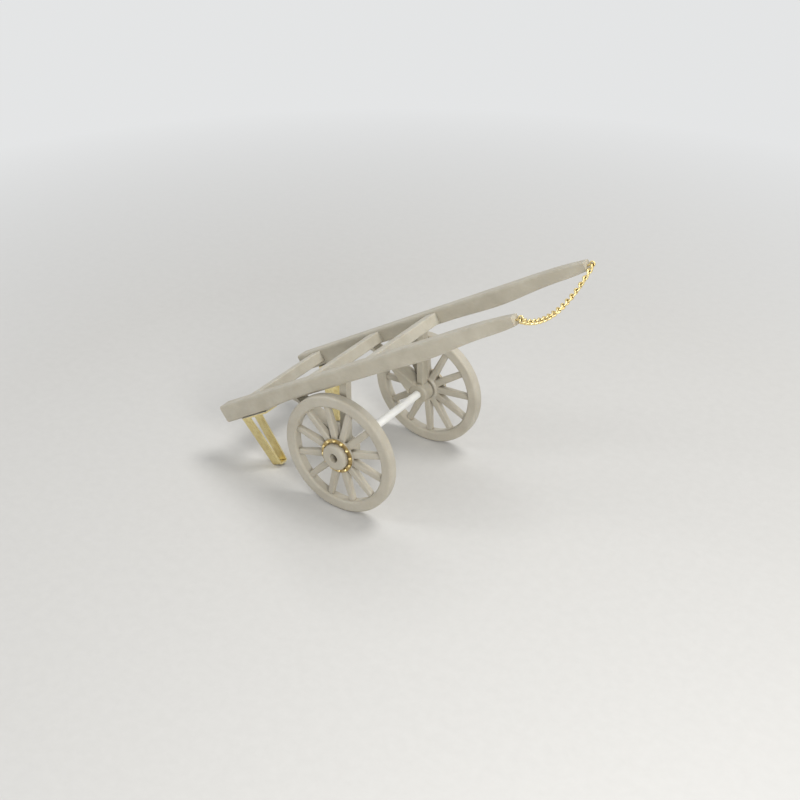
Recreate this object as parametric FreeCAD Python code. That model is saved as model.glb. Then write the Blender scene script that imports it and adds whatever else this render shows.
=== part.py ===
import FreeCAD, Part
import math
import os

# A miniature pony cart: two long shafts joined by three crossbars, carried on one axle rod with
# two spoked wheels, propped by two folded strip legs, with a chain hung between the shaft tips.
# Millimetres, +X towards the shaft tips, +Z up. The origin is on the floor, under the middle of
# the whole cart. The frame is drawn level about the axle, then tipped up to rest on its legs.

# Stance
WHEEL_RADIUS = 12.0
TILT_DEG = 31.0

# Shafts, drawn level with the axle centre at the origin
SHAFT_CENTRE_Y = 12.5
SHAFT_THICKNESS = 3.4
SHAFT_TOP = 15.0
SHAFT_TAIL_X = -26.0
SHAFT_TIP_X = 48.1
TAIL_RAKE = 0.4
HEEL_DEPTH = 3.55
HEEL_FRONT_X = -16.5
WAIST_DEPTH = 2.9
WAIST_REAR_X = -7.0
WAIST_FRONT_X = 16.0
BELLY_DEPTH = 3.12
BELLY_X = 28.5
TAPER_START_X = 30.0
NECK_X = 40.0
NECK_DEPTH = 2.4
TIP_DROP = 0.4
TIP_DEPTH = 1.7
TIP_THICKNESS = 1.8
SHAFT_EDGE_ROUND = 0.55
TIP_EDGE_ROUND = 0.28

# Crossbars
BAR_FRONT_FACES_X = {"rear": -19.1, "middle": -2.0, "front": 13.5}
BAR_WIDTH = 2.6
BAR_HEIGHT = 2.2
BAR_BELOW_SHAFT_TOP = 0.4
BAR_EDGE_ROUND = 0.25

# Axle rod
ROD_RADIUS = 0.8
ROD_HALF_LENGTH = 15.4

# Axle brackets: an open V of a slanted arm and an upright post, on a round boss
BRACKET_OUTER_Y = 13.56
ARM_INNER_Y = 10.8
ARM_REAR_EDGE = [(-6.7, 12.1), (-3.3, 6.5), (-2.5, 3.2), (-1.9, 0.6)]
ARM_UPPER_EDGE = [(-5.6, 12.1), (0.24, 2.65)]
ARM_EDGE_ROUND = 0.35
POST_INNER_Y = 11.9
POST_BEHIND_AXLE = 0.9
POST_AHEAD_OF_AXLE = 0.7
POST_EDGE_ROUND = 0.3
BOSS_RADIUS = 2.0
BOSS_INNER_Y = 11.1
BOSS_BORE_CLEARANCE = 0.03

# Wheels
SPOKE_COUNT = 12
SPOKE_PHASE_DEG = {"near": 16.3, "far": 4.0}
RIM_INNER_Y = 13.86
RIM_OUTER_Y = 16.0
RIM_DEPTH = 2.25
RIM_EDGE_ROUND = 0.5
SPOKE_WIDTH_AT_HUB = 1.5
SPOKE_WIDTH_AT_RIM = 1.2
SPOKE_THICKNESS_AT_HUB = 1.5
SPOKE_THICKNESS_AT_RIM = 1.1
SPOKE_EDGE_ROUND = 0.35
HUB_RUNNING_CLEARANCE = 0.06
HUB_INNER_RADIUS = 2.3
HUB_BARREL_RADIUS = 3.0
HUB_FLANGE_RADIUS = 3.45
HUB_FLANGE_Y = (15.55, 15.95)
NOSE_RADIUS = 2.58
NOSE_END_Y = 17.28
NOSE_END_ROUND = 0.6
NOSE_MOUTH_ROUND = 0.22

# Rivet rings on the hub flanges
RING_THICKNESS = 0.2
RING_BORE_RADIUS = 2.66
RIVET_COUNT = 12
RIVET_CIRCLE_RADIUS = 3.07
RIVET_RADIUS = 0.32
RIVET_HEIGHT = 0.28
RIVET_PHASE_DEG = 8.8

# Legs: folded strip, raked back from square to the shaft
LEG_TOP_X = -20.4
LEG_RAKE_DEG = 7.7
LEG_STRIP_WIDTH = 2.05
LEG_STRIP_THICKNESS = 0.35
LEG_TOP_Y = (10.8, 14.15)
LEG_FOOT_Y = (8.8, 10.95)
LEG_FOOT_BEND = 0.6
LEG_FOOT_FLAT = 0.12
PAD_FORWARD = 5.0

# Tip fittings
WIRE_RADIUS = 0.16
EYE_RADIUS = 0.42
EYE_AHEAD_OF_TIP = 1.1
EYE_BELOW_TIP_TOP = 0.92
EYE_SHANK = 2.2

# Chain
LINK_COUNT = 17
LINK_WIRE_RADIUS = 0.17
LINK_HALF_WIDTH = 0.39
LINK_PLAY = 0.02
LINK_TWIST_DEG = -45.0
CHAIN_SAG_SHARE = 0.147

SIDES = {"near": -1, "far": 1}
V = FreeCAD.Vector
ORIGIN = V(0, 0, 0)
ALONG_Y = V(0, 1, 0)
TILT = math.radians(TILT_DEG)


def tipped(shape):
    """Turn a shape that was drawn level about the axle, so that the tips rise."""
    turned = shape.copy()
    turned.rotate(ORIGIN, ALONG_Y, -TILT_DEG)
    return turned


def tipped_point(x, y, z):
    """Where a point of the level drawing lies once the frame is tipped."""
    return V(
        x * math.cos(TILT) - z * math.sin(TILT),
        y,
        x * math.sin(TILT) + z * math.cos(TILT),
    )


def line(start, end):
    return Part.LineSegment(start, end).toShape()


def curve(points, start_tangent=None, end_tangent=None):
    """A smooth curve through points, flat to the tangents it is given."""
    spline = Part.BSplineCurve()
    options = {}
    if start_tangent:
        options["InitialTangent"] = start_tangent
    if end_tangent:
        options["FinalTangent"] = end_tangent
    if len(options) == 2:
        spline.interpolate(Points=points, **options)
    else:
        spline.interpolate(Points=points)
    return spline.toShape()


def rounded_box(low, high, radius, direction):
    """A box whose edges along one direction are rounded."""
    size = high - low
    box = Part.makeBox(size.x, size.y, size.z, low)
    edges = [e for e in box.Edges if abs(e.tangentAt(e.FirstParameter).dot(direction)) > 0.99]
    return box.makeFillet(radius, edges).Solids[0]


# Shafts

def shaft_side_face():
    """The outline of a shaft seen from its side, in the plane y = 0."""
    heel = SHAFT_TOP - HEEL_DEPTH
    waist = SHAFT_TOP - WAIST_DEPTH
    tip_top = SHAFT_TOP - TIP_DROP
    tail_foot = V(SHAFT_TAIL_X + TAIL_RAKE, 0, heel)
    heel_front = V(HEEL_FRONT_X, 0, heel)
    waist_rear = V(WAIST_REAR_X, 0, waist)
    waist_front = V(WAIST_FRONT_X, 0, waist)
    belly = V(BELLY_X, 0, SHAFT_TOP - BELLY_DEPTH)
    neck = V(NECK_X, 0, SHAFT_TOP - NECK_DEPTH)
    tip_foot = V(SHAFT_TIP_X, 0, tip_top - TIP_DEPTH)
    tip_head = V(SHAFT_TIP_X, 0, tip_top)
    top_front = V(TAPER_START_X, 0, SHAFT_TOP)
    tail_head = V(SHAFT_TAIL_X, 0, SHAFT_TOP)
    forward = V(1, 0, 0)
    up_the_neck = V(1, 0, 0.12)
    edges = [
        line(tail_foot, heel_front),
        curve([heel_front, waist_rear], forward * 8, forward * 8),
        line(waist_rear, waist_front),
        curve([waist_front, belly, neck, tip_foot], forward * 8, up_the_neck * 8),
        line(tip_foot, tip_head),
        curve([tip_head, top_front], V(-1, 0, 0.1) * 18, -forward * 18),
        line(top_front, tail_head),
        line(tail_head, tail_foot),
    ]
    return Part.Face(Part.Wire(edges))


def shaft_plan_face():
    """The outline of a shaft seen from above, about its own centre line."""
    half = SHAFT_THICKNESS / 2
    tip_half = TIP_THICKNESS / 2
    tail = SHAFT_TAIL_X - 1
    start = TAPER_START_X
    tip = SHAFT_TIP_X + 1
    forward = V(1, 0, 0)
    edges = [
        line(V(tail, -half, 0), V(start, -half, 0)),
        curve([V(start, -half, 0), V(tip, -tip_half, 0)], forward * 14, V(1, 0.06, 0) * 14),
        line(V(tip, -tip_half, 0), V(tip, tip_half, 0)),
        curve([V(tip, tip_half, 0), V(start, half, 0)], V(-1, 0.06, 0) * 14, -forward * 14),
        line(V(start, half, 0), V(tail, half, 0)),
        line(V(tail, half, 0), V(tail, -half, 0)),
    ]
    return Part.Face(Part.Wire(edges))


def long_edges(shape):
    """The edges that run along the shaft, which are the ones worn round."""
    found = []
    for edge in shape.Edges:
        box = edge.BoundBox
        if box.XLength > 3 * max(box.YLength, 1.2):
            found.append(edge)
    return found


def middle_of(edge):
    return edge.valueAt((edge.FirstParameter + edge.LastParameter) / 2)


def rounded_towards_tip(body):
    """Round the taper's four long edges, each less and less towards the tip."""
    corners = [middle_of(edge) for edge in long_edges(body)]
    for corner in corners:
        edge = min(body.Edges, key=lambda e: (middle_of(e) - corner).Length)
        starts_at_tip = edge.valueAt(edge.FirstParameter).x > TAPER_START_X + 1
        radii = (TIP_EDGE_ROUND, SHAFT_EDGE_ROUND)
        if not starts_at_tip:
            radii = (SHAFT_EDGE_ROUND, TIP_EDGE_ROUND)
        body = body.makeFillet(radii[0], radii[1], [edge]).Solids[0]
    return body


def shaft(side):
    """One shaft, its edges worn round and growing crisper from the taper to the tip."""
    depth = SHAFT_TOP + 2
    slab = shaft_side_face().extrude(V(0, SHAFT_THICKNESS + 2, 0))
    slab.translate(V(0, -SHAFT_THICKNESS / 2 - 1, 0))
    plank = shaft_plan_face().extrude(V(0, 0, depth))
    body = slab.common(plank).Solids[0]
    rear_box = Part.makeBox(90, 20, 40, V(TAPER_START_X - 90, -10, 0))
    rear = body.common(rear_box).Solids[0]
    rear = rear.makeFillet(SHAFT_EDGE_ROUND, long_edges(rear)).Solids[0]
    front = rounded_towards_tip(body.cut(rear_box).Solids[0])
    body = rear.fuse(front).Solids[0]
    body.translate(V(0, side * SHAFT_CENTRE_Y, 0))
    return body


def crossbar(front_x):
    """A bar let in between the shafts' inner faces, a little below their tops."""
    half_gap = SHAFT_CENTRE_Y - SHAFT_THICKNESS / 2
    top = SHAFT_TOP - BAR_BELOW_SHAFT_TOP
    low = V(front_x - BAR_WIDTH, -half_gap, top - BAR_HEIGHT)
    high = V(front_x, half_gap, top)
    return rounded_box(low, high, BAR_EDGE_ROUND, ALONG_Y)


# Axle brackets

def bracket(side):
    """An open V under the shaft's flat waist: a slanted arm, an upright post and a boss."""
    top = SHAFT_TOP - WAIST_DEPTH
    rear = [V(x, ARM_INNER_Y, z) for x, z in ARM_REAR_EDGE]
    upper_head, upper_foot = [V(x, ARM_INNER_Y, z) for x, z in ARM_UPPER_EDGE]
    inside_boss = V(0.9, ARM_INNER_Y, 0.3)
    arm_outline = Part.Wire([
        curve(rear),
        line(rear[-1], inside_boss),
        line(inside_boss, upper_foot),
        line(upper_foot, upper_head),
        line(upper_head, rear[0]),
    ])
    arm = Part.Face(arm_outline).extrude(V(0, BRACKET_OUTER_Y - ARM_INNER_Y, 0))
    lit_edges = [
        e for e in arm.Edges
        if e.BoundBox.YMax < ARM_INNER_Y + 0.01
        and e.BoundBox.ZMin > 2 and e.BoundBox.XMax < 1 and e.BoundBox.ZLength > 5
    ]
    arm = arm.makeFillet(ARM_EDGE_ROUND, lit_edges)
    bore_axis = V(0, BOSS_INNER_Y - 1, 0)
    rod_room = Part.makeCylinder(BOSS_RADIUS, 1, bore_axis, ALONG_Y)
    arm = arm.cut(rod_room)
    shift = math.sin(TILT) / math.cos(TILT)
    behind = -POST_BEHIND_AXLE / math.cos(TILT)
    ahead = POST_AHEAD_OF_AXLE / math.cos(TILT)
    post_outline = Part.makePolygon([
        V(behind, POST_INNER_Y, 0),
        V(ahead, POST_INNER_Y, 0),
        V(ahead + top * shift, POST_INNER_Y, top),
        V(behind + top * shift, POST_INNER_Y, top),
        V(behind, POST_INNER_Y, 0),
    ])
    post = Part.Face(post_outline).extrude(V(0, BRACKET_OUTER_Y - POST_INNER_Y, 0))
    upright = [
        e for e in post.Edges
        if e.BoundBox.YMax < POST_INNER_Y + 0.01 and e.BoundBox.ZLength > 5
    ]
    post = post.makeFillet(POST_EDGE_ROUND, upright)
    boss_length = BRACKET_OUTER_Y - BOSS_INNER_Y
    boss = Part.makeCylinder(BOSS_RADIUS, boss_length, V(0, BOSS_INNER_Y, 0), ALONG_Y)
    rim = [e for e in boss.Edges if abs(e.BoundBox.YMin - BOSS_INNER_Y) < 1e-6 and e.Closed]
    boss = boss.makeFillet(0.4, rim)
    bore = Part.makeCylinder(
        ROD_RADIUS + BOSS_BORE_CLEARANCE, boss_length + 2, bore_axis, ALONG_Y
    )
    body = boss.multiFuse([arm, post]).removeSplitter().cut(bore).Solids[0]
    if side < 0:
        body = body.mirror(ORIGIN, ALONG_Y)
    return body


def axle_rod():
    return Part.makeCylinder(
        ROD_RADIUS, 2 * ROD_HALF_LENGTH, V(0, -ROD_HALF_LENGTH, 0), ALONG_Y
    )


# Wheels

def rim_ring():
    inner = WHEEL_RADIUS - RIM_DEPTH
    section = rounded_box(
        V(inner, RIM_INNER_Y, -1), V(WHEEL_RADIUS, RIM_OUTER_Y, 1), RIM_EDGE_ROUND, V(0, 0, 1)
    )
    outline = section.slice(V(0, 0, 1), 0)[0]
    return Part.Face(outline).revolve(ORIGIN, ALONG_Y, 360)


def hub_body():
    """The hub's turned form: inner end, barrel, flange and round nose, with the bore."""
    bore = ROD_RADIUS + HUB_RUNNING_CLEARANCE
    flange_back, flange_face = HUB_FLANGE_Y
    round_start = V(NOSE_RADIUS, NOSE_END_Y - NOSE_END_ROUND, 0)
    round_end = V(NOSE_RADIUS - NOSE_END_ROUND, NOSE_END_Y, 0)
    bend = NOSE_END_ROUND * math.sqrt(0.5)
    round_mid = V(round_end.x + bend, round_start.y + bend, 0)
    barrel_start = RIM_INNER_Y + 0.7
    lip = NOSE_MOUTH_ROUND
    mouth_start = V(bore, NOSE_END_Y - lip, 0)
    mouth_end = V(bore + lip, NOSE_END_Y, 0)
    inset = lip * (1 - math.sqrt(0.5))
    mouth_mid = V(bore + inset, NOSE_END_Y - inset, 0)
    points = [
        mouth_start,
        V(bore, RIM_INNER_Y, 0),
        V(HUB_INNER_RADIUS, RIM_INNER_Y, 0),
        V(HUB_BARREL_RADIUS, barrel_start, 0),
        V(HUB_BARREL_RADIUS, flange_back, 0),
        V(HUB_FLANGE_RADIUS, flange_back, 0),
        V(HUB_FLANGE_RADIUS, flange_face, 0),
        V(NOSE_RADIUS, flange_face, 0),
        round_start,
    ]
    edges = [line(a, b) for a, b in zip(points, points[1:])]
    edges.append(Part.Arc(round_start, round_mid, round_end).toShape())
    edges.append(line(round_end, mouth_end))
    edges.append(Part.Arc(mouth_end, mouth_mid, mouth_start).toShape())
    return Part.Face(Part.Wire(edges)).revolve(ORIGIN, ALONG_Y, 360)


def spoke_section(radius, width, thickness):
    """A rounded rectangle across a spoke that points along +X, at one radius."""
    middle_y = (RIM_INNER_Y + RIM_OUTER_Y) / 2
    block = rounded_box(
        V(radius - 1, middle_y - thickness / 2, -width / 2),
        V(radius + 1, middle_y + thickness / 2, width / 2),
        SPOKE_EDGE_ROUND,
        V(1, 0, 0),
    )
    return block.slice(V(1, 0, 0), radius)[0]


def spoke():
    root = spoke_section(HUB_BARREL_RADIUS - 0.6, SPOKE_WIDTH_AT_HUB, SPOKE_THICKNESS_AT_HUB)
    head = spoke_section(
        WHEEL_RADIUS - RIM_DEPTH + 0.5, SPOKE_WIDTH_AT_RIM, SPOKE_THICKNESS_AT_RIM
    )
    return Part.makeLoft([root, head], True, True)


def wheel(name, side):
    """One cast wheel: rim, spokes and hub in one piece."""
    parts = [rim_ring()]
    for number in range(SPOKE_COUNT):
        one = spoke()
        angle = SPOKE_PHASE_DEG[name] + number * 360 / SPOKE_COUNT
        one.rotate(ORIGIN, ALONG_Y, -angle)
        parts.append(one)
    body = hub_body().multiFuse(parts).removeSplitter().Solids[0]
    if side < 0:
        body = body.mirror(ORIGIN, ALONG_Y)
    return body


def rivet_ring(side):
    """A thin washer on the hub flange, with a ring of domed rivet heads."""
    face_y = HUB_FLANGE_Y[1]
    outer = Part.makeCylinder(HUB_FLANGE_RADIUS, RING_THICKNESS, V(0, face_y, 0), ALONG_Y)
    hole = Part.makeCylinder(RING_BORE_RADIUS, RING_THICKNESS, V(0, face_y, 0), ALONG_Y)
    washer = outer.cut(hole)
    heads = []
    for number in range(RIVET_COUNT):
        angle = math.radians(RIVET_PHASE_DEG + number * 360 / RIVET_COUNT)
        foot = V(
            RIVET_CIRCLE_RADIUS * math.cos(angle), face_y, RIVET_CIRCLE_RADIUS * math.sin(angle)
        )
        heads.append(Part.makeCone(
            RIVET_RADIUS, RIVET_RADIUS * 0.6, RING_THICKNESS + RIVET_HEIGHT, foot, ALONG_Y
        ))
    body = washer.multiFuse(heads).Solids[0]
    if side < 0:
        body = body.mirror(ORIGIN, ALONG_Y)
    return body


# Legs

def leg(side):
    """A strip folded into a narrow U under the heel, its foot filed to stand on the floor."""
    seat = SHAFT_TOP - HEEL_DEPTH
    rake = math.radians(LEG_RAKE_DEG)
    lean_back = TILT - rake
    half_width = LEG_STRIP_WIDTH / 2
    seat_height = tipped_point(LEG_TOP_X, 0, seat).z + WHEEL_RADIUS
    foot_drop = half_width * math.sin(lean_back)
    length = (seat_height - foot_drop + LEG_FOOT_FLAT) / math.cos(lean_back)
    over = 1.0
    slope_in = (LEG_TOP_Y[0] - LEG_FOOT_Y[0]) / length
    slope_out = (LEG_TOP_Y[1] - LEG_FOOT_Y[1]) / length
    outer = Part.makePolygon([
        V(0, LEG_TOP_Y[0] + slope_in * over, over),
        V(0, LEG_FOOT_Y[0], -length),
        V(0, LEG_FOOT_Y[1], -length),
        V(0, LEG_TOP_Y[1] + slope_out * over, over),
        V(0, LEG_TOP_Y[0] + slope_in * over, over),
    ])
    block = Part.Face(outer).extrude(V(LEG_STRIP_WIDTH, 0, 0))
    wall = LEG_STRIP_THICKNESS
    inner = Part.makePolygon([
        V(-1, LEG_TOP_Y[0] + slope_in * 2 * over + wall, 2 * over),
        V(-1, LEG_FOOT_Y[0] + wall, wall - length),
        V(-1, LEG_FOOT_Y[1] - wall, wall - length),
        V(-1, LEG_TOP_Y[1] + slope_out * 2 * over - wall, 2 * over),
        V(-1, LEG_TOP_Y[0] + slope_in * 2 * over + wall, 2 * over),
    ])
    foot_edges = [
        e for e in block.Edges
        if e.BoundBox.ZMax < 0.01 - length and e.BoundBox.XLength > LEG_STRIP_WIDTH / 2
    ]
    block = block.makeFillet(LEG_FOOT_BEND, foot_edges)
    strip = block.cut(Part.Face(inner).extrude(V(LEG_STRIP_WIDTH + 2, 0, 0)))
    strip.translate(V(-half_width, 0, 0))
    strip.rotate(ORIGIN, ALONG_Y, LEG_RAKE_DEG)
    strip.translate(V(LEG_TOP_X, 0, seat))
    below_seat = Part.makeBox(40, 40, 40, V(LEG_TOP_X - 20, 0, seat - 40))
    strip = strip.common(below_seat)
    pad = Part.makeBox(
        LEG_STRIP_WIDTH + PAD_FORWARD,
        LEG_TOP_Y[1] - LEG_TOP_Y[0],
        wall,
        V(LEG_TOP_X - half_width, LEG_TOP_Y[0], seat - wall),
    )
    body = tipped(strip.fuse(pad).removeSplitter())
    floor_box = Part.makeBox(80, 60, 20, V(-60, -10, -WHEEL_RADIUS - 20))
    body = body.cut(floor_box).Solids[0]
    if side < 0:
        body = body.mirror(ORIGIN, ALONG_Y)
    return body


# Tip fittings and chain

def eye_centre_level(side):
    return V(
        SHAFT_TIP_X + EYE_AHEAD_OF_TIP,
        side * SHAFT_CENTRE_Y,
        SHAFT_TOP - TIP_DROP - EYE_BELOW_TIP_TOP,
    )


def tip_eye(side):
    """A wire eye whose shank is driven into the shaft's end."""
    centre = eye_centre_level(side)
    ring = Part.makeTorus(EYE_RADIUS, WIRE_RADIUS, centre, ALONG_Y)
    reach = EYE_AHEAD_OF_TIP - EYE_RADIUS + EYE_SHANK
    shank = Part.makeCylinder(
        WIRE_RADIUS, reach, centre - V(EYE_RADIUS, 0, 0), V(-1, 0, 0)
    )
    return ring.fuse(shank).Solids[0]


def link_centreline(half_length):
    """Round a stadium whose straight sides are twisted, so that its two ends stand crossed.

    Gives the points, and at each one the direction square to the local plane of the link.
    """
    straight = half_length - LINK_HALF_WIDTH
    quarter = [(0.0, LINK_HALF_WIDTH), (straight * 0.5, LINK_HALF_WIDTH)]
    for step in range(7):
        turn = math.radians(90 - 30 * step)
        quarter.append((
            straight + LINK_HALF_WIDTH * math.cos(turn), LINK_HALF_WIDTH * math.sin(turn)
        ))
    quarter.append((straight * 0.5, -LINK_HALF_WIDTH))
    outline = quarter + [(-x, -y) for x, y in quarter]
    points = []
    normals = []
    for x, y in outline:
        share = max(-1.0, min(1.0, x / straight))
        twist = math.radians(LINK_TWIST_DEG) * math.sin(share * math.pi / 2)
        points.append(V(x, y * math.cos(twist), y * math.sin(twist)))
        normals.append(V(0, -math.sin(twist), math.cos(twist)))
    return points, normals


def link(centre, along, roll_deg, half_length):
    """One chain link of round wire, as a single smooth surface closed both ways round."""
    points, normals = link_centreline(half_length)
    count = len(points)
    sides = 8
    reach = LINK_WIRE_RADIUS * 3 / (2 + math.cos(2 * math.pi / sides))
    steps = [float(number) for number in range(count + 1)]
    poles = []
    for side in range(sides):
        angle = 2 * math.pi * side / sides
        rail = []
        for number, point in enumerate(points):
            ahead = points[(number + 1) % count] - points[number - 1]
            ahead.normalize()
            square = normals[number] - ahead * normals[number].dot(ahead)
            square.normalize()
            across = ahead.cross(square)
            rail.append(
                point + square * reach * math.cos(angle) + across * reach * math.sin(angle)
            )
        spline = Part.BSplineCurve()
        spline.interpolate(Points=rail, PeriodicFlag=True, Parameters=steps)
        poles.append(spline.getPoles())
    surface = Part.BSplineSurface()
    surface.buildFromPolesMultsKnots(
        poles,
        [1] * (sides + 1),
        spline.getMultiplicities(),
        [float(number) for number in range(sides + 1)],
        spline.getKnots(),
        True,
        True,
        3,
        3,
    )
    body = Part.Solid(Part.Shell([surface.toShape()]))
    if body.Volume < 0:
        body.reverse()
    body.rotate(ORIGIN, V(1, 0, 0), roll_deg)
    upright = FreeCAD.Rotation(along, V(0, 0, 0), V(0, 0, 1), "XZY")
    return body.transformGeometry(FreeCAD.Placement(centre, upright).toMatrix()).Solids[0]


def catenary_scale(half_span, sag):
    """The scale of the hanging curve with a given sag over a given half span."""
    low, high = 0.05 * half_span, 50 * half_span
    for _ in range(80):
        scale = (low + high) / 2
        if scale * (math.cosh(half_span / scale) - 1) > sag:
            low = scale
        else:
            high = scale
    return scale


def chain_links():
    """Links from the near eye to the far eye, along a hanging chain's own curve.

    Each joint is the middle of the crossing between two wires. The end links hook the
    eyes' lowest wire, so their outer joints lie half a crossing beyond it.
    """
    eye = tipped_point(*eye_centre_level(-1))
    eye_span = SHAFT_CENTRE_Y
    sag = CHAIN_SAG_SHARE * 2 * eye_span
    slope = math.atan(math.sinh(eye_span / catenary_scale(eye_span, sag)))
    hook = WIRE_RADIUS + LINK_PLAY
    half_span = eye_span + hook * math.cos(slope)
    top = eye.z - EYE_RADIUS + hook * math.sin(slope)
    scale = catenary_scale(half_span, sag)
    half_length = scale * math.sinh(half_span / scale)
    joints = []
    for number in range(LINK_COUNT + 1):
        run = half_length * (2 * number / LINK_COUNT - 1)
        across = scale * math.asinh(run / scale)
        joints.append(V(eye.x, across, top - sag + scale * (math.cosh(across / scale) - 1)))
    links = []
    for number in range(LINK_COUNT):
        start = joints[number]
        end = joints[number + 1]
        half_length = (end - start).Length / 2 + LINK_WIRE_RADIUS + LINK_PLAY
        share = number / (LINK_COUNT - 1)
        roll = 90 + LINK_TWIST_DEG * (1 - 2 * share)
        links.append(link((start + end) / 2, end - start, roll, half_length))
    return links


# Assembly

def build():
    """Every node by name, with the axle centre at the origin."""
    nodes = {}
    for name, side in SIDES.items():
        eye = tip_eye(side)
        nodes["shaft_" + name] = tipped(shaft(side).cut(eye).Solids[0])
        nodes["tip_eye_" + name] = tipped(eye)
        nodes["axle_bracket_" + name] = tipped(bracket(side))
        nodes["leg_" + name] = leg(side)
        nodes["wheel_" + name] = wheel(name, side)
        nodes["hub_rivet_ring_" + name] = rivet_ring(side)
    for name, front_x in BAR_FRONT_FACES_X.items():
        nodes["crossbar_" + name] = tipped(crossbar(front_x))
    nodes["axle_rod"] = axle_rod()
    for number, one in enumerate(chain_links(), start=1):
        nodes["chain_link_%02d" % number] = one
    return nodes


def footprint_shift(nodes):
    """The move that puts the origin on the floor under the middle of the cart."""
    box = Part.makeCompound(list(nodes.values())).optimalBoundingBox(False)
    return V(-(box.XMin + box.XMax) / 2, 0, WHEEL_RADIUS)


def main():
    os.makedirs("parts", exist_ok=True)
    nodes = build()
    shift = footprint_shift(nodes)
    for name, shape in nodes.items():
        placed = shape.copy()
        placed.translate(shift)
        placed.exportStep("parts/%s.step" % name)
    print("axle centre", round(shift.x, 4), 0.0, round(shift.z, 4), "nodes", len(nodes))


main()
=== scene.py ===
import math

import bpy
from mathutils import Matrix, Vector


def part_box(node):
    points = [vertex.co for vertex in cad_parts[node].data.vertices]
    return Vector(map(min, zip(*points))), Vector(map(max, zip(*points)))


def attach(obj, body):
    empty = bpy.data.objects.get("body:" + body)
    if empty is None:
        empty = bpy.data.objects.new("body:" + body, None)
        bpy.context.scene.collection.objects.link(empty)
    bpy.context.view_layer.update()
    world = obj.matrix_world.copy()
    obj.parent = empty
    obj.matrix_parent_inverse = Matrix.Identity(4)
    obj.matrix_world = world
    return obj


# Looks for the miniature pony cart: cast resin, folded and etched brass, a fine brass chain and
# a bare white rod, on a pale floor. Lengths are in metres; MM turns a real millimetre into one.

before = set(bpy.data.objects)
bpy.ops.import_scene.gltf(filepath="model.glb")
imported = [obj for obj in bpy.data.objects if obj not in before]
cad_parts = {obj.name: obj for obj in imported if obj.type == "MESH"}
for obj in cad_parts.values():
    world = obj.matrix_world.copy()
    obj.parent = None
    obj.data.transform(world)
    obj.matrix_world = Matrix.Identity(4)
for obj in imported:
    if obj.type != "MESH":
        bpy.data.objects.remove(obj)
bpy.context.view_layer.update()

MM = 0.001

# Camera, fitted to the photo: where it stands from the axle's centre, in wheel radii
CAMERA_FROM_AXLE = Vector((10.815, -15.66, 11.60))
CAMERA_LOOKS_ALONG = Vector((-0.4807, 0.7139, -0.5092))
CAMERA_LENS = 62.35

# Glue: the beads' radii, the step along them and how many sides they have
BAR_GLUE_RADIUS = 0.10 * MM
LEG_GLUE_RADIUS = 0.08 * MM
ROD_GLUE_RADIUS = 0.12 * MM
GLUE_STEP = 0.35 * MM
GLUE_SIDES = 8
ROD_GLUE_POINTS = 24

# Where the glue sits, in millimetres from the axle, along a leg's pad and below a bar's top
BOSS_FACE_Y = 11.1
PAD_INNER_Y = 10.8
PAD_OUTER_Y = 14.15
PAD_LENGTH = 7.0
GLUE_BELOW_BAR_TOP = 0.1

# Rivet heads
RIVETS = 12
RIVET_PHASE = math.radians(8.8)
RIVET_CIRCLE = 3.07 * MM
RIVET_HEAD_RADIUS = 0.34 * MM
RIVET_HEAD_HEIGHT = 0.38 * MM
RIVET_SHANK_HEIGHT = 0.28 * MM
DOME_SIDES = 16
DOME_LEVELS = 4

# Lamps: each one's place from the axle, its size, its power and its tint
LAMPS = {
    "key": (Vector((0.12, 0.12, 0.40)), 0.20, 0.95, (1.0, 0.985, 0.96)),
    "front": (Vector((0.20, -0.15, 0.13)), 0.10, 0.36, (1.0, 0.985, 0.96)),
    "left": (Vector((-0.22, -0.17, 0.17)), 0.10, 0.16, (1.0, 1.0, 1.0)),
}

FLOOR_REACH = 3.0

# Background: its colour, its strength as light and as it is seen, and the distances in
# millimetres between which the floor fades into it
BACKGROUND = (0.97, 0.98, 0.985, 1.0)
BACKGROUND_LIGHT = 0.42
BACKGROUND_SEEN = 0.80
FLOOR_FADES_FROM = 90.0
FLOOR_FADES_BY = 220.0

SIDES = {"near": -1, "far": 1}

# Places and directions, read off the frame
AXLE_LOW, AXLE_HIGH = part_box("axle_rod")
AXLE = (AXLE_LOW + AXLE_HIGH) / 2
WHEEL_LOW, WHEEL_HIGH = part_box("wheel_near")
WHEEL_RADIUS = (WHEEL_HIGH.z - WHEEL_LOW.z) / 2


def middle(node):
    low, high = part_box(node)
    return (low + high) / 2


ALONG = (middle("crossbar_front") - middle("crossbar_rear")).normalized()
ACROSS = Vector((0, 1, 0))
UPRIGHT = ALONG.cross(ACROSS)


def place(along, across, upright):
    """A point given along the shafts, across the cart and square to the shafts, in millimetres."""
    return AXLE + (ALONG * along + ACROSS * across + UPRIGHT * upright) * MM


def rays_seen(tree):
    """1 for a ray from the camera, a reflection or a clear body, 0 for one that only carries light."""
    rays = tree.nodes.new("ShaderNodeLightPath")
    seen = rays.outputs["Is Camera Ray"]
    for kind in ("Is Glossy Ray", "Is Transmission Ray"):
        either = tree.nodes.new("ShaderNodeMath")
        either.operation = "MAXIMUM"
        tree.links.new(seen, either.inputs[0])
        tree.links.new(rays.outputs[kind], either.inputs[1])
        seen = either.outputs[0]
    return seen


# Materials

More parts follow.
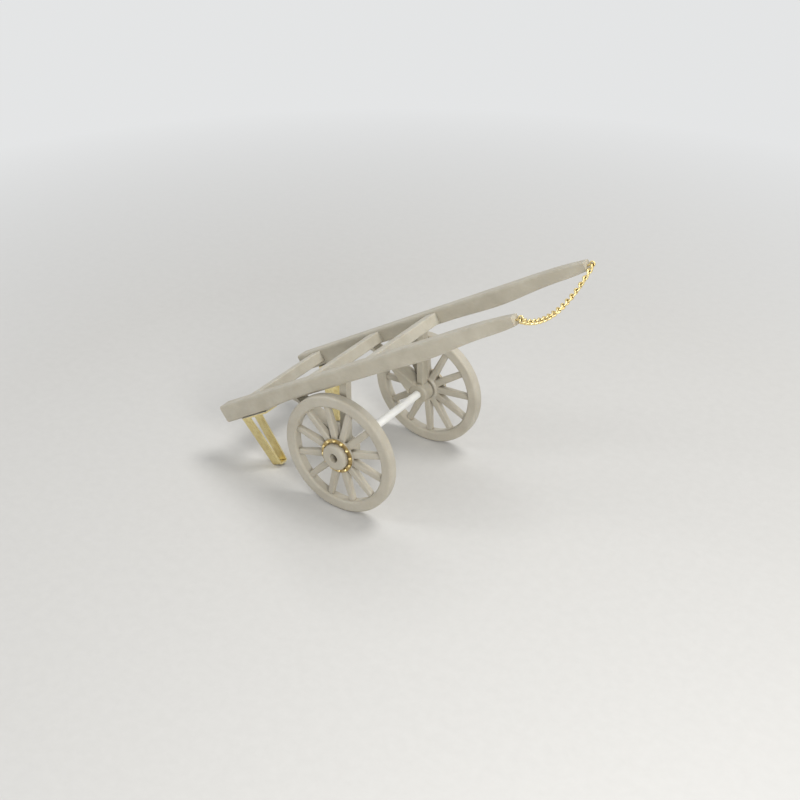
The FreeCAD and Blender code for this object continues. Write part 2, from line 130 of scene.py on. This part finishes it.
class Shader:
    """A material's node tree, with short ways to add and link nodes."""

    def __init__(self, name):
        self.material = bpy.data.materials.new(name)
        self.material.use_nodes = True
        self.tree = self.material.node_tree
        self.tree.nodes.clear()
        self.output = self.tree.nodes.new("ShaderNodeOutputMaterial")
        self.surface = self.tree.nodes.new("ShaderNodeBsdfPrincipled")
        self.tree.links.new(self.surface.outputs[0], self.output.inputs["Surface"])
        coordinates = self.tree.nodes.new("ShaderNodeTexCoord")
        self.millimetres = self.stretched(coordinates.outputs["Object"], (1000, 1000, 1000))

    def put(self, value, socket):
        if isinstance(value, bpy.types.NodeSocket):
            self.tree.links.new(value, socket)
        else:
            socket.default_value = value

    def stretched(self, vector, scale, turn=(0, 0, 0)):
        node = self.tree.nodes.new("ShaderNodeMapping")
        self.put(vector, node.inputs["Vector"])
        node.inputs["Scale"].default_value = scale
        node.inputs["Rotation"].default_value = turn
        return node.outputs[0]

    def noise(self, vector, scale, detail=4.0, roughness=0.55):
        node = self.tree.nodes.new("ShaderNodeTexNoise")
        self.put(vector, node.inputs["Vector"])
        node.inputs["Scale"].default_value = scale
        node.inputs["Detail"].default_value = detail
        node.inputs["Roughness"].default_value = roughness
        return node.outputs["Fac"]

    def cells(self, vector, scale):
        node = self.tree.nodes.new("ShaderNodeTexVoronoi")
        self.put(vector, node.inputs["Vector"])
        node.inputs["Scale"].default_value = scale
        return node.outputs["Distance"], node.outputs["Color"]

    def ranged(self, value, low, high, to_low=0.0, to_high=1.0):
        node = self.tree.nodes.new("ShaderNodeMapRange")
        self.put(value, node.inputs["Value"])
        for socket, number in zip(node.inputs[1:5], (low, high, to_low, to_high)):
            socket.default_value = number
        return node.outputs[0]

    def maths(self, operation, a, b=0.5):
        node = self.tree.nodes.new("ShaderNodeMath")
        node.operation = operation
        self.put(a, node.inputs[0])
        self.put(b, node.inputs[1])
        return node.outputs[0]

    def mixed(self, share, a, b):
        node = self.tree.nodes.new("ShaderNodeMix")
        node.data_type = "RGBA"
        self.put(share, node.inputs["Factor"])
        self.put(a, node.inputs[6])
        self.put(b, node.inputs[7])
        return node.outputs[2]

    def bumped(self, height, distance, strength=1.0, under=None):
        node = self.tree.nodes.new("ShaderNodeBump")
        node.inputs["Distance"].default_value = distance
        node.inputs["Strength"].default_value = strength
        self.put(height, node.inputs["Height"])
        if under is not None:
            self.put(under, node.inputs["Normal"])
        return node.outputs[0]

    def crevice(self, distance):
        """0 in corners and gaps, 1 on open faces."""
        node = self.tree.nodes.new("ShaderNodeAmbientOcclusion")
        node.samples = 6
        node.inputs["Distance"].default_value = distance
        return node.outputs["AO"]

    def edge(self, radius):
        """1 on sharp edges, 0 on flat faces."""
        bevel = self.tree.nodes.new("ShaderNodeBevel")
        bevel.samples = 4
        bevel.inputs["Radius"].default_value = radius
        geometry = self.tree.nodes.new("ShaderNodeNewGeometry")
        dot = self.tree.nodes.new("ShaderNodeVectorMath")
        dot.operation = "DOT_PRODUCT"
        self.tree.links.new(bevel.outputs[0], dot.inputs[0])
        self.tree.links.new(geometry.outputs["Normal"], dot.inputs[1])
        return self.ranged(dot.outputs["Value"], 0.995, 0.80)

    def set(self, **inputs):
        for name, value in inputs.items():
            self.put(value, self.surface.inputs[name.replace("_", " ")])


def shade(red, green, blue):
    return (red, green, blue, 1.0)


def resin_material(name, light, dark, turn):
    """Cast resin: a faint cloudiness, rubbing marks along the piece, rare pinholes, pale edges, and
    painted shade with some dust in gaps and corners.
    """
    s = Shader(name)
    cloud = s.noise(s.millimetres, 0.22, 3.0)
    mottle = s.noise(s.millimetres, 1.3, 5.0, 0.6)
    colour = s.mixed(s.ranged(cloud, 0.35, 0.65), dark, light)
    colour = s.mixed(s.ranged(mottle, 0.52, 0.78, 0.0, 0.28), colour, shade(0.38, 0.345, 0.27))
    lengthwise = s.stretched(s.millimetres, (0.12, 1.0, 1.0), turn)
    rubbed = s.noise(lengthwise, 4.0, 4.0, 0.6)
    colour = s.mixed(s.ranged(rubbed, 0.55, 0.8, 0.0, 0.22), colour, shade(0.66, 0.63, 0.55))
    # Painted shade, with some dust, darkens the resin in gaps and corners.
    painted_gap_shade = s.ranged(s.crevice(0.8 * MM), 0.2, 0.8)
    colour = s.mixed(painted_gap_shade, shade(0.24, 0.205, 0.15), colour)
    colour = s.mixed(s.maths("MULTIPLY", s.edge(0.12 * MM), 0.5), colour, shade(0.74, 0.71, 0.62))
    pit_distance, pit_tone = s.cells(s.millimetres, 0.6)
    rare = s.ranged(pit_tone, 0.80, 0.82)
    pit = s.maths("MULTIPLY", s.ranged(pit_distance, 0.10, 0.05), rare)
    colour = s.mixed(s.maths("MULTIPLY", pit, 0.4), colour, shade(0.17, 0.15, 0.11))
    grain = s.noise(s.millimetres, 6.0, 6.0, 0.65)
    normal = s.bumped(grain, 0.022 * MM, 0.5)
    normal = s.bumped(rubbed, 0.03 * MM, 0.45, normal)
    normal = s.bumped(mottle, 0.06 * MM, 0.4, normal)
    normal = s.bumped(s.maths("SUBTRACT", 1.0, pit), 0.10 * MM, 0.8, normal)
    s.set(
        Base_Color=colour,
        Roughness=s.ranged(mottle, 0.3, 0.7, 0.40, 0.54),
        Normal=normal,
        Subsurface_Weight=0.15,
        Subsurface_Radius=(0.0007, 0.0005, 0.0003),
        Subsurface_Scale=0.6,
    )
    return s.material


def brass_material(name, bright, dull, streak_scale, tarnish):
    """Bare brass: drawn or rolled streaks, dulled patches, and painted shade in its gaps."""
    s = Shader(name)
    patch = s.noise(s.millimetres, 0.9, 4.0, 0.6)
    streak = s.noise(s.stretched(s.millimetres, streak_scale), 6.0, 4.0, 0.6)
    speck = s.noise(s.millimetres, 9.0, 3.0, 0.6)
    colour = s.mixed(s.ranged(patch, 0.4, 0.68, 0.0, tarnish), bright, dull)
    colour = s.mixed(s.ranged(streak, 0.5, 0.75, 0.0, 0.35), colour, shade(0.96, 0.88, 0.60))
    colour = s.mixed(s.ranged(speck, 0.66, 0.78, 0.0, 0.4), colour, shade(0.34, 0.24, 0.10))
    # Painted shade darkens the brass in gaps and corners.
    painted_gap_shade = s.ranged(s.crevice(0.35 * MM), 0.2, 0.8)
    colour = s.mixed(painted_gap_shade, shade(0.12, 0.075, 0.025), colour)
    normal = s.bumped(streak, 0.02 * MM, 0.5)
    normal = s.bumped(speck, 0.012 * MM, 0.5, normal)
    s.set(
        Base_Color=colour,
        Metallic=0.94,
        Roughness=s.ranged(patch, 0.3, 0.7, 0.26, 0.42),
        Normal=normal,
    )
    return s.material


def rod_material():
    """White styrene rod: extruded lines along it, handling smudges, and painted shade where it meets
    other parts.
    """
    s = Shader("white styrene")
    lines = s.noise(s.stretched(s.millimetres, (1.0, 0.05, 1.0)), 9.0, 4.0, 0.6)
    smudge = s.noise(s.millimetres, 0.6, 4.0, 0.6)
    colour = s.mixed(s.ranged(smudge, 0.55, 0.75, 0.0, 0.45), shade(0.88, 0.88, 0.855),
                     shade(0.76, 0.745, 0.69))
    # Painted shade darkens the rod in corners and where it meets other parts.
    colour = s.mixed(s.ranged(s.crevice(0.7 * MM), 0.2, 0.8), shade(0.42, 0.40, 0.35), colour)
    s.set(
        Base_Color=colour,
        Roughness=s.ranged(lines, 0.3, 0.7, 0.30, 0.46),
        Normal=s.bumped(lines, 0.015 * MM, 0.5),
        Subsurface_Weight=0.15,
        Subsurface_Radius=(0.0006, 0.0006, 0.0005),
        Subsurface_Scale=0.6,
    )
    return s.material


def glue_material():
    """Set glue: pale, slightly yellow and glossy."""
    s = Shader("set glue")
    tone = s.noise(s.millimetres, 3.0, 3.0)
    s.set(
        Base_Color=s.mixed(tone, shade(0.42, 0.385, 0.30), shade(0.54, 0.505, 0.42)),
        Roughness=s.ranged(tone, 0.3, 0.7, 0.16, 0.34),
        Normal=s.bumped(tone, 0.05 * MM, 0.4),
        Transmission_Weight=0.15,
        Coat_Weight=0.35,
        Coat_Roughness=0.12,
    )
    return s.material


def floor_material():
    """A pale matt card floor that fades, far from the object, into the studio's pale background."""
    s = Shader("floor card")
    fibre = s.noise(s.millimetres, 0.5, 6.0, 0.65)
    s.set(
        Base_Color=s.mixed(fibre, shade(0.60, 0.595, 0.58), shade(0.66, 0.655, 0.64)),
        Roughness=0.85,
        Normal=s.bumped(fibre, 0.02 * MM, 0.3),
    )
    nodes, links = s.tree.nodes, s.tree.links
    distance = nodes.new("ShaderNodeVectorMath")
    distance.operation = "LENGTH"
    links.new(s.millimetres, distance.inputs[0])
    far = s.ranged(distance.outputs["Value"], FLOOR_FADES_FROM, FLOOR_FADES_BY)
    backdrop = nodes.new("ShaderNodeEmission")
    backdrop.inputs["Color"].default_value = BACKGROUND
    backdrop.inputs["Strength"].default_value = BACKGROUND_SEEN
    fade = nodes.new("ShaderNodeMixShader")
    links.new(s.maths("MULTIPLY", far, rays_seen(s.tree)), fade.inputs[0])
    links.new(s.surface.outputs[0], fade.inputs[1])
    links.new(backdrop.outputs[0], fade.inputs[2])
    links.new(fade.outputs[0], s.output.inputs["Surface"])
    return s.material


TILT = math.atan2(ALONG.z, ALONG.x)
RESIN = {
    "along": resin_material("resin, rubbed along the shafts", shade(0.51, 0.475, 0.39),
                            shade(0.44, 0.405, 0.325), (0, TILT, 0)),
    # Painted light: the crossbars' resin is a lighter copy of the shafts' and wheels' resin.
    "across": resin_material("resin, rubbed across the cart, with painted light", shade(0.56, 0.525, 0.44),
                             shade(0.49, 0.455, 0.37), (0, 0, math.radians(90))),
    "wheel": resin_material("resin, turned", shade(0.51, 0.475, 0.395),
                            shade(0.45, 0.415, 0.34), (0, 0, 0)),
}
BRASS_SHEET = brass_material("rolled brass strip", shade(0.86, 0.74, 0.38), shade(0.62, 0.48, 0.20),
                             (1.0, 1.0, 0.12), 0.6)
# The etched ring is brown all over: partly patina, partly painted shade standing for the dark between
# its rivet heads.
BRASS_ETCHED_PATINA_AND_SHADE = brass_material("etched brass, brown patina and painted shade", shade(0.56, 0.42, 0.19),
                              shade(0.28, 0.19, 0.08), (1.0, 1.0, 1.0), 0.9)
BRASS_WIRE = brass_material("brass wire", shade(0.88, 0.73, 0.36), shade(0.58, 0.42, 0.16),
                            (1.0, 1.0, 1.0), 0.7)
GLUE = glue_material()


def material_for(node):
    if node == "axle_rod":
        return rod_material()
    if node.startswith("leg"):
        return BRASS_SHEET
    if node.startswith("hub_rivet_ring"):
        return BRASS_ETCHED_PATINA_AND_SHADE
    if node.startswith(("chain_link", "tip_")):
        return BRASS_WIRE
    if node.startswith("crossbar"):
        return RESIN["across"]
    if node.startswith("wheel"):
        return RESIN["wheel"]
    return RESIN["along"]


for name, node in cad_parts.items():
    node.data.materials.clear()
    node.data.materials.append(material_for(name))


# Mesh helpers

def mesh_object(name, points, faces, material, body):
    data = bpy.data.meshes.new(name)
    data.from_pydata([tuple(point) for point in points], [], faces)
    data.update()
    for polygon in data.polygons:
        polygon.use_smooth = True
    data.materials.append(material)
    made = bpy.data.objects.new(name, data)
    bpy.context.scene.collection.objects.link(made)
    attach(made, body)


def swell(number, seed):
    """A smooth, repeatable unevenness about 1, for beads of glue."""
    return 1 + 0.22 * math.sin(1.7 * number + seed) + 0.14 * math.sin(0.63 * number + 2.1 * seed)


def bead(points, radius, closed, seed):
    """Points and faces of a round, uneven bead along a path."""
    count = len(points)
    rings = []
    for number, point in enumerate(points):
        before = points[number - 1] if closed or number else point
        after = points[(number + 1) % count] if closed or number < count - 1 else point
        ahead = (after - before).normalized()
        side = ahead.orthogonal().normalized()
        other = ahead.cross(side)
        wide = radius * swell(number, seed)
        if not closed and number in (0, count - 1):
            wide *= 0.25
        for step in range(GLUE_SIDES):
            turn = 2 * math.pi * step / GLUE_SIDES
            rings.append(point + side * wide * math.cos(turn) + other * wide * math.sin(turn))
    faces = []
    for number in range(count if closed else count - 1):
        here = number * GLUE_SIDES
        there = ((number + 1) % count) * GLUE_SIDES
        for step in range(GLUE_SIDES):
            after = (step + 1) % GLUE_SIDES
            faces.append((here + step, here + after, there + after, there + step))
    if not closed:
        faces.append(tuple(reversed(range(GLUE_SIDES))))
        faces.append(tuple(range(len(rings) - GLUE_SIDES, len(rings))))
    return rings, faces


def resampled(corners, closed):
    """Points at even steps along straight runs between corners."""
    points = []
    ends = corners[1:] + corners[:1] if closed else corners[1:]
    for start, end in zip(corners, ends):
        count = max(1, round((end - start).length / GLUE_STEP))
        points += [start.lerp(end, number / count) for number in range(count)]
    if not closed:
        points.append(corners[-1])
    return points


def glue_line(name, path, radius, closed, seed):
    """A bead of glue along a path, on the frame."""
    rings, faces = bead(path, radius, closed, seed)
    mesh_object(name, rings, faces, GLUE, "frame")


# Glue at the joints

def level_box(node):
    """A node's extent along, across and square to the shafts, in millimetres from the axle."""
    spans = []
    for axis in (ALONG, ACROSS, UPRIGHT):
        reach = [(v.co - AXLE).dot(axis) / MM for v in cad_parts[node].data.vertices]
        spans.append((min(reach), max(reach)))
    return spans


for bar_number, bar in enumerate(("rear", "middle", "front")):
    (bar_back, bar_front), (bar_near, bar_far), (bar_low, bar_top) = level_box("crossbar_" + bar)
    glue_top = bar_top - GLUE_BELOW_BAR_TOP
    for side_name, side in SIDES.items():
        end_y = bar_far if side > 0 else bar_near
        around_end = resampled(
            [
                place(bar_back, end_y, glue_top),
                place(bar_back, end_y, bar_low),
                place(bar_front, end_y, bar_low),
                place(bar_front, end_y, glue_top),
            ],
            False,
        )
        glue_line(
            "glue_%s_%s" % (bar, side_name), around_end, BAR_GLUE_RADIUS, False, bar_number + side
        )

rod_radius = (AXLE_HIGH.z - AXLE_LOW.z) / 2
for side_name, side in SIDES.items():
    leg_along, _, leg_upright = level_box("leg_" + side_name)
    inner = side * PAD_INNER_Y
    outer = side * PAD_OUTER_Y
    pad_front = leg_along[1]
    pad_back = pad_front - PAD_LENGTH
    seat = leg_upright[1]
    around_pad = resampled(
        [
            place(pad_back, inner, seat),
            place(pad_front, inner, seat),
            place(pad_front, outer, seat),
            place(pad_back, outer, seat),
        ],
        True,
    )
    glue_line("glue_leg_" + side_name, around_pad, LEG_GLUE_RADIUS, True, 3 + side)

    across = side * BOSS_FACE_Y * MM
    around_rod = [
        AXLE + Vector((rod_radius * math.cos(turn), across, rod_radius * math.sin(turn)))
        for turn in (2 * math.pi * step / ROD_GLUE_POINTS for step in range(ROD_GLUE_POINTS))
    ]
    glue_line("glue_rod_" + side_name, around_rod, ROD_GLUE_RADIUS, True, 5 + side)


# Domed rivet heads on the hub rings

def dome(centre, outward, radius, height):
    """A low dome standing on a face, as points and faces."""
    side = outward.orthogonal().normalized()
    other = outward.cross(side)
    points = []
    for level in range(DOME_LEVELS):
        rise = math.pi / 2 * level / DOME_LEVELS
        for step in range(DOME_SIDES):
            turn = 2 * math.pi * step / DOME_SIDES
            out = radius * math.cos(rise)
            points.append(
                centre
                + outward * height * math.sin(rise)
                + side * out * math.cos(turn)
                + other * out * math.sin(turn)
            )
    points.append(centre + outward * height)
    faces = []
    for level in range(DOME_LEVELS - 1):
        for step in range(DOME_SIDES):
            after = (step + 1) % DOME_SIDES
            low = level * DOME_SIDES
            faces.append((low + step, low + after, low + DOME_SIDES + after, low + DOME_SIDES + step))
    last = (DOME_LEVELS - 1) * DOME_SIDES
    for step in range(DOME_SIDES):
        faces.append((last + step, last + (step + 1) % DOME_SIDES, len(points) - 1))
    return points, faces


for side_name, side in SIDES.items():
    ring_low, ring_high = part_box("hub_rivet_ring_" + side_name)
    outer_face = ring_high.y if side > 0 else ring_low.y
    points = []
    faces = []
    for number in range(RIVETS):
        turn = RIVET_PHASE + 2 * math.pi * number / RIVETS
        foot = Vector((
            AXLE.x + RIVET_CIRCLE * math.cos(turn),
            outer_face - side * RIVET_SHANK_HEIGHT,
            AXLE.z + RIVET_CIRCLE * math.sin(turn),
        ))
        head, head_faces = dome(foot, ACROSS * side, RIVET_HEAD_RADIUS, RIVET_HEAD_HEIGHT)
        faces += [tuple(index + len(points) for index in face) for face in head_faces]
        points += head
    mesh_object("rivet_domes_" + side_name, points, faces, BRASS_WIRE,
                side_name + "_wheel")


# Floor, light and camera

def floor():
    data = bpy.data.meshes.new("floor")
    corners = [(x * FLOOR_REACH, y * FLOOR_REACH, 0) for x, y in ((-1, -1), (1, -1), (1, 1), (-1, 1))]
    data.from_pydata(corners, [], [(0, 1, 2, 3)])
    data.materials.append(floor_material())
    made = bpy.data.objects.new("floor", data)
    bpy.context.scene.collection.objects.link(made)


def area_light(name, position, target, size, power, tint):
    data = bpy.data.lights.new(name, "AREA")
    data.shape = "DISK"
    data.size = size
    data.energy = power
    data.color = tint
    made = bpy.data.objects.new(name, data)
    made.location = position
    made.rotation_mode = "QUATERNION"
    made.rotation_quaternion = (target - position).to_track_quat("-Z", "Y")
    bpy.context.scene.collection.objects.link(made)


floor()
LIT_POINT = AXLE + Vector((0.005, 0, 0.008))
for lamp, (from_axle, size, power, tint) in LAMPS.items():
    area_light(lamp, AXLE + from_axle, LIT_POINT, size, power, tint)

world = bpy.data.worlds.new("studio")
world.use_nodes = True
background = world.node_tree.nodes["Background"]
background.inputs["Color"].default_value = BACKGROUND
level = world.node_tree.nodes.new("ShaderNodeMapRange")
level.inputs["To Min"].default_value = BACKGROUND_LIGHT
level.inputs["To Max"].default_value = BACKGROUND_SEEN
world.node_tree.links.new(rays_seen(world.node_tree), level.inputs["Value"])
world.node_tree.links.new(level.outputs[0], background.inputs["Strength"])
bpy.context.scene.world = world

camera_data = bpy.data.cameras.new("camera")
camera_data.lens = CAMERA_LENS
camera_data.sensor_width = 36
camera_data.clip_start = 0.01
camera = bpy.data.objects.new("camera", camera_data)
camera.location = AXLE + CAMERA_FROM_AXLE * WHEEL_RADIUS
camera.rotation_mode = "QUATERNION"
camera.rotation_quaternion = CAMERA_LOOKS_ALONG.to_track_quat("-Z", "Y")
bpy.context.scene.collection.objects.link(camera)
bpy.context.scene.camera = camera

bpy.context.scene.view_settings.view_transform = "Standard"
